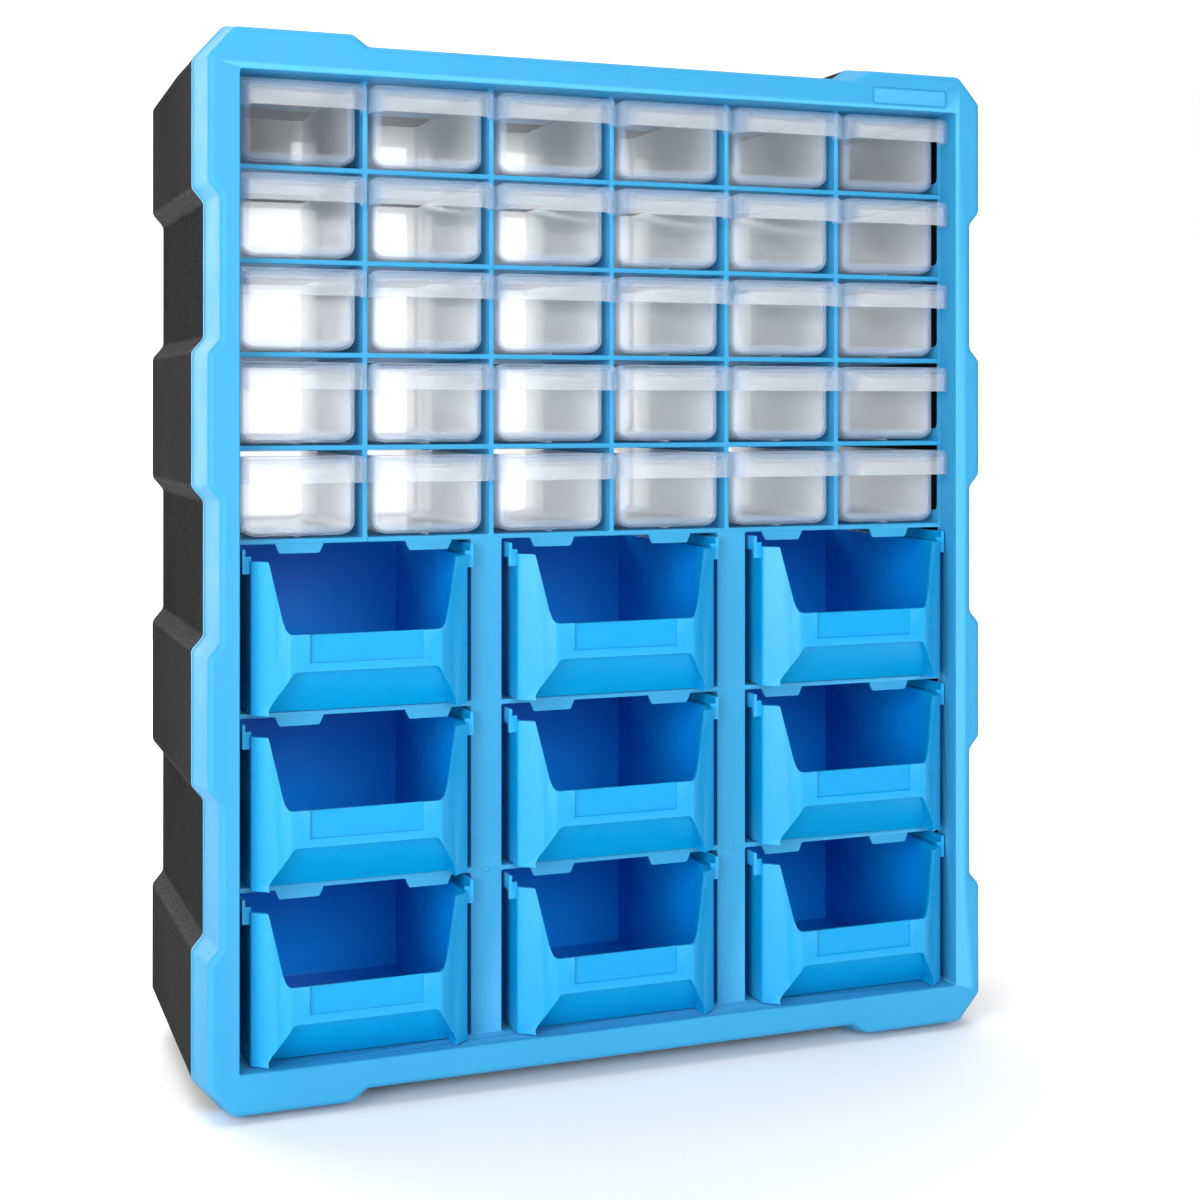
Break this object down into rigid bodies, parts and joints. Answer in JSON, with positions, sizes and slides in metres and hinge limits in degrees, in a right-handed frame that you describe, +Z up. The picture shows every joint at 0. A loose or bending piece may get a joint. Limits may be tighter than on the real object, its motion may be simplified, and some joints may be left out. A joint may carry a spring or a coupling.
{
  "type": "parts organizer",
  "caption": "Parts organizer cabinet: a blue plastic grid in a black shell, with small clear drawers above open-fronted blue bins, each sliding out on its own.",
  "frame": {"origin": "middle of the footprint, on the surface the cabinet stands on", "axes": "+Z up, front towards -Y, +X across the width to the viewer's right when facing the front"},
  "size_m": [0.38, 0.16, 0.47],
  "materials": {
    "blue_plastic": "satin",
    "black_plastic": "fine grain",
    "milky_plastic": "satin"
  },
  "bodies": {
    "cabinet": {"front_bezel": "blue_plastic", "drawer_shelf_r1": "blue_plastic", "drawer_shelf_r2": "blue_plastic", "drawer_shelf_r3": "blue_plastic", "drawer_shelf_r4": "blue_plastic", "drawer_shelf_r5": "blue_plastic", "bin_shelf_r1": "blue_plastic", "bin_shelf_r2": "blue_plastic", "bin_shelf_r3": "blue_plastic", "top_panel": "blue_plastic", "rear_shell": "black_plastic"},
    "drawer_r1_c1": {"drawer_r1_c1": "milky_plastic"},
    "drawer_r1_c2": {"drawer_r1_c2": "milky_plastic"},
    "drawer_r1_c3": {"drawer_r1_c3": "milky_plastic"},
    "drawer_r1_c4": {"drawer_r1_c4": "milky_plastic"},
    "drawer_r1_c5": {"drawer_r1_c5": "milky_plastic"},
    "drawer_r1_c6": {"drawer_r1_c6": "milky_plastic"},
    "drawer_r2_c1": {"drawer_r2_c1": "milky_plastic"},
    "drawer_r2_c2": {"drawer_r2_c2": "milky_plastic"},
    "drawer_r2_c3": {"drawer_r2_c3": "milky_plastic"},
    "drawer_r2_c4": {"drawer_r2_c4": "milky_plastic"},
    "drawer_r2_c5": {"drawer_r2_c5": "milky_plastic"},
    "drawer_r2_c6": {"drawer_r2_c6": "milky_plastic"},
    "drawer_r3_c1": {"drawer_r3_c1": "milky_plastic"},
    "drawer_r3_c2": {"drawer_r3_c2": "milky_plastic"},
    "drawer_r3_c3": {"drawer_r3_c3": "milky_plastic"},
    "drawer_r3_c4": {"drawer_r3_c4": "milky_plastic"},
    "drawer_r3_c5": {"drawer_r3_c5": "milky_plastic"},
    "drawer_r3_c6": {"drawer_r3_c6": "milky_plastic"},
    "drawer_r4_c1": {"drawer_r4_c1": "milky_plastic"},
    "drawer_r4_c2": {"drawer_r4_c2": "milky_plastic"},
    "drawer_r4_c3": {"drawer_r4_c3": "milky_plastic"},
    "drawer_r4_c4": {"drawer_r4_c4": "milky_plastic"},
    "drawer_r4_c5": {"drawer_r4_c5": "milky_plastic"},
    "drawer_r4_c6": {"drawer_r4_c6": "milky_plastic"},
    "drawer_r5_c1": {"drawer_r5_c1": "milky_plastic"},
    "drawer_r5_c2": {"drawer_r5_c2": "milky_plastic"},
    "drawer_r5_c3": {"drawer_r5_c3": "milky_plastic"},
    "drawer_r5_c4": {"drawer_r5_c4": "milky_plastic"},
    "drawer_r5_c5": {"drawer_r5_c5": "milky_plastic"},
    "drawer_r5_c6": {"drawer_r5_c6": "milky_plastic"},
    "bin_r1_c1": {"bin_r1_c1": "blue_plastic"},
    "bin_r1_c2": {"bin_r1_c2": "blue_plastic"},
    "bin_r1_c3": {"bin_r1_c3": "blue_plastic"},
    "bin_r2_c1": {"bin_r2_c1": "blue_plastic"},
    "bin_r2_c2": {"bin_r2_c2": "blue_plastic"},
    "bin_r2_c3": {"bin_r2_c3": "blue_plastic"},
    "bin_r3_c1": {"bin_r3_c1": "blue_plastic"},
    "bin_r3_c2": {"bin_r3_c2": "blue_plastic"},
    "bin_r3_c3": {"bin_r3_c3": "blue_plastic"}
  },
  "joints": [
    {"name": "drawer_r1_c1_slide", "type": "slide", "parent": "cabinet", "child": "drawer_r1_c1", "axis": [0, -1, 0], "range_m": [0, 0.115]},
    {"name": "drawer_r1_c2_slide", "type": "slide", "parent": "cabinet", "child": "drawer_r1_c2", "axis": [0, -1, 0], "range_m": [0, 0.115]},
    {"name": "drawer_r1_c3_slide", "type": "slide", "parent": "cabinet", "child": "drawer_r1_c3", "axis": [0, -1, 0], "range_m": [0, 0.115]},
    {"name": "drawer_r1_c4_slide", "type": "slide", "parent": "cabinet", "child": "drawer_r1_c4", "axis": [0, -1, 0], "range_m": [0, 0.115]},
    {"name": "drawer_r1_c5_slide", "type": "slide", "parent": "cabinet", "child": "drawer_r1_c5", "axis": [0, -1, 0], "range_m": [0, 0.115]},
    {"name": "drawer_r1_c6_slide", "type": "slide", "parent": "cabinet", "child": "drawer_r1_c6", "axis": [0, -1, 0], "range_m": [0, 0.115]},
    {"name": "drawer_r2_c1_slide", "type": "slide", "parent": "cabinet", "child": "drawer_r2_c1", "axis": [0, -1, 0], "range_m": [0, 0.115]},
    {"name": "drawer_r2_c2_slide", "type": "slide", "parent": "cabinet", "child": "drawer_r2_c2", "axis": [0, -1, 0], "range_m": [0, 0.115]},
    {"name": "drawer_r2_c3_slide", "type": "slide", "parent": "cabinet", "child": "drawer_r2_c3", "axis": [0, -1, 0], "range_m": [0, 0.115]},
    {"name": "drawer_r2_c4_slide", "type": "slide", "parent": "cabinet", "child": "drawer_r2_c4", "axis": [0, -1, 0], "range_m": [0, 0.115]},
    {"name": "drawer_r2_c5_slide", "type": "slide", "parent": "cabinet", "child": "drawer_r2_c5", "axis": [0, -1, 0], "range_m": [0, 0.115]},
    {"name": "drawer_r2_c6_slide", "type": "slide", "parent": "cabinet", "child": "drawer_r2_c6", "axis": [0, -1, 0], "range_m": [0, 0.115]},
    {"name": "drawer_r3_c1_slide", "type": "slide", "parent": "cabinet", "child": "drawer_r3_c1", "axis": [0, -1, 0], "range_m": [0, 0.115]},
    {"name": "drawer_r3_c2_slide", "type": "slide", "parent": "cabinet", "child": "drawer_r3_c2", "axis": [0, -1, 0], "range_m": [0, 0.115]},
    {"name": "drawer_r3_c3_slide", "type": "slide", "parent": "cabinet", "child": "drawer_r3_c3", "axis": [0, -1, 0], "range_m": [0, 0.115]},
    {"name": "drawer_r3_c4_slide", "type": "slide", "parent": "cabinet", "child": "drawer_r3_c4", "axis": [0, -1, 0], "range_m": [0, 0.115]},
    {"name": "drawer_r3_c5_slide", "type": "slide", "parent": "cabinet", "child": "drawer_r3_c5", "axis": [0, -1, 0], "range_m": [0, 0.115]},
    {"name": "drawer_r3_c6_slide", "type": "slide", "parent": "cabinet", "child": "drawer_r3_c6", "axis": [0, -1, 0], "range_m": [0, 0.115]},
    {"name": "drawer_r4_c1_slide", "type": "slide", "parent": "cabinet", "child": "drawer_r4_c1", "axis": [0, -1, 0], "range_m": [0, 0.115]},
    {"name": "drawer_r4_c2_slide", "type": "slide", "parent": "cabinet", "child": "drawer_r4_c2", "axis": [0, -1, 0], "range_m": [0, 0.115]},
    {"name": "drawer_r4_c3_slide", "type": "slide", "parent": "cabinet", "child": "drawer_r4_c3", "axis": [0, -1, 0], "range_m": [0, 0.115]},
    {"name": "drawer_r4_c4_slide", "type": "slide", "parent": "cabinet", "child": "drawer_r4_c4", "axis": [0, -1, 0], "range_m": [0, 0.115]},
    {"name": "drawer_r4_c5_slide", "type": "slide", "parent": "cabinet", "child": "drawer_r4_c5", "axis": [0, -1, 0], "range_m": [0, 0.115]},
    {"name": "drawer_r4_c6_slide", "type": "slide", "parent": "cabinet", "child": "drawer_r4_c6", "axis": [0, -1, 0], "range_m": [0, 0.115]},
    {"name": "drawer_r5_c1_slide", "type": "slide", "parent": "cabinet", "child": "drawer_r5_c1", "axis": [0, -1, 0], "range_m": [0, 0.115]},
    {"name": "drawer_r5_c2_slide", "type": "slide", "parent": "cabinet", "child": "drawer_r5_c2", "axis": [0, -1, 0], "range_m": [0, 0.115]},
    {"name": "drawer_r5_c3_slide", "type": "slide", "parent": "cabinet", "child": "drawer_r5_c3", "axis": [0, -1, 0], "range_m": [0, 0.115]},
    {"name": "drawer_r5_c4_slide", "type": "slide", "parent": "cabinet", "child": "drawer_r5_c4", "axis": [0, -1, 0], "range_m": [0, 0.115]},
    {"name": "drawer_r5_c5_slide", "type": "slide", "parent": "cabinet", "child": "drawer_r5_c5", "axis": [0, -1, 0], "range_m": [0, 0.115]},
    {"name": "drawer_r5_c6_slide", "type": "slide", "parent": "cabinet", "child": "drawer_r5_c6", "axis": [0, -1, 0], "range_m": [0, 0.115]},
    {"name": "bin_r1_c1_slide", "type": "slide", "parent": "cabinet", "child": "bin_r1_c1", "axis": [0, -1, 0], "range_m": [0, 0.112]},
    {"name": "bin_r1_c2_slide", "type": "slide", "parent": "cabinet", "child": "bin_r1_c2", "axis": [0, -1, 0], "range_m": [0, 0.112]},
    {"name": "bin_r1_c3_slide", "type": "slide", "parent": "cabinet", "child": "bin_r1_c3", "axis": [0, -1, 0], "range_m": [0, 0.112]},
    {"name": "bin_r2_c1_slide", "type": "slide", "parent": "cabinet", "child": "bin_r2_c1", "axis": [0, -1, 0], "range_m": [0, 0.112]},
    {"name": "bin_r2_c2_slide", "type": "slide", "parent": "cabinet", "child": "bin_r2_c2", "axis": [0, -1, 0], "range_m": [0, 0.112]},
    {"name": "bin_r2_c3_slide", "type": "slide", "parent": "cabinet", "child": "bin_r2_c3", "axis": [0, -1, 0], "range_m": [0, 0.112]},
    {"name": "bin_r3_c1_slide", "type": "slide", "parent": "cabinet", "child": "bin_r3_c1", "axis": [0, -1, 0], "range_m": [0, 0.112]},
    {"name": "bin_r3_c2_slide", "type": "slide", "parent": "cabinet", "child": "bin_r3_c2", "axis": [0, -1, 0], "range_m": [0, 0.112]},
    {"name": "bin_r3_c3_slide", "type": "slide", "parent": "cabinet", "child": "bin_r3_c3", "axis": [0, -1, 0], "range_m": [0, 0.112]}
  ]
}
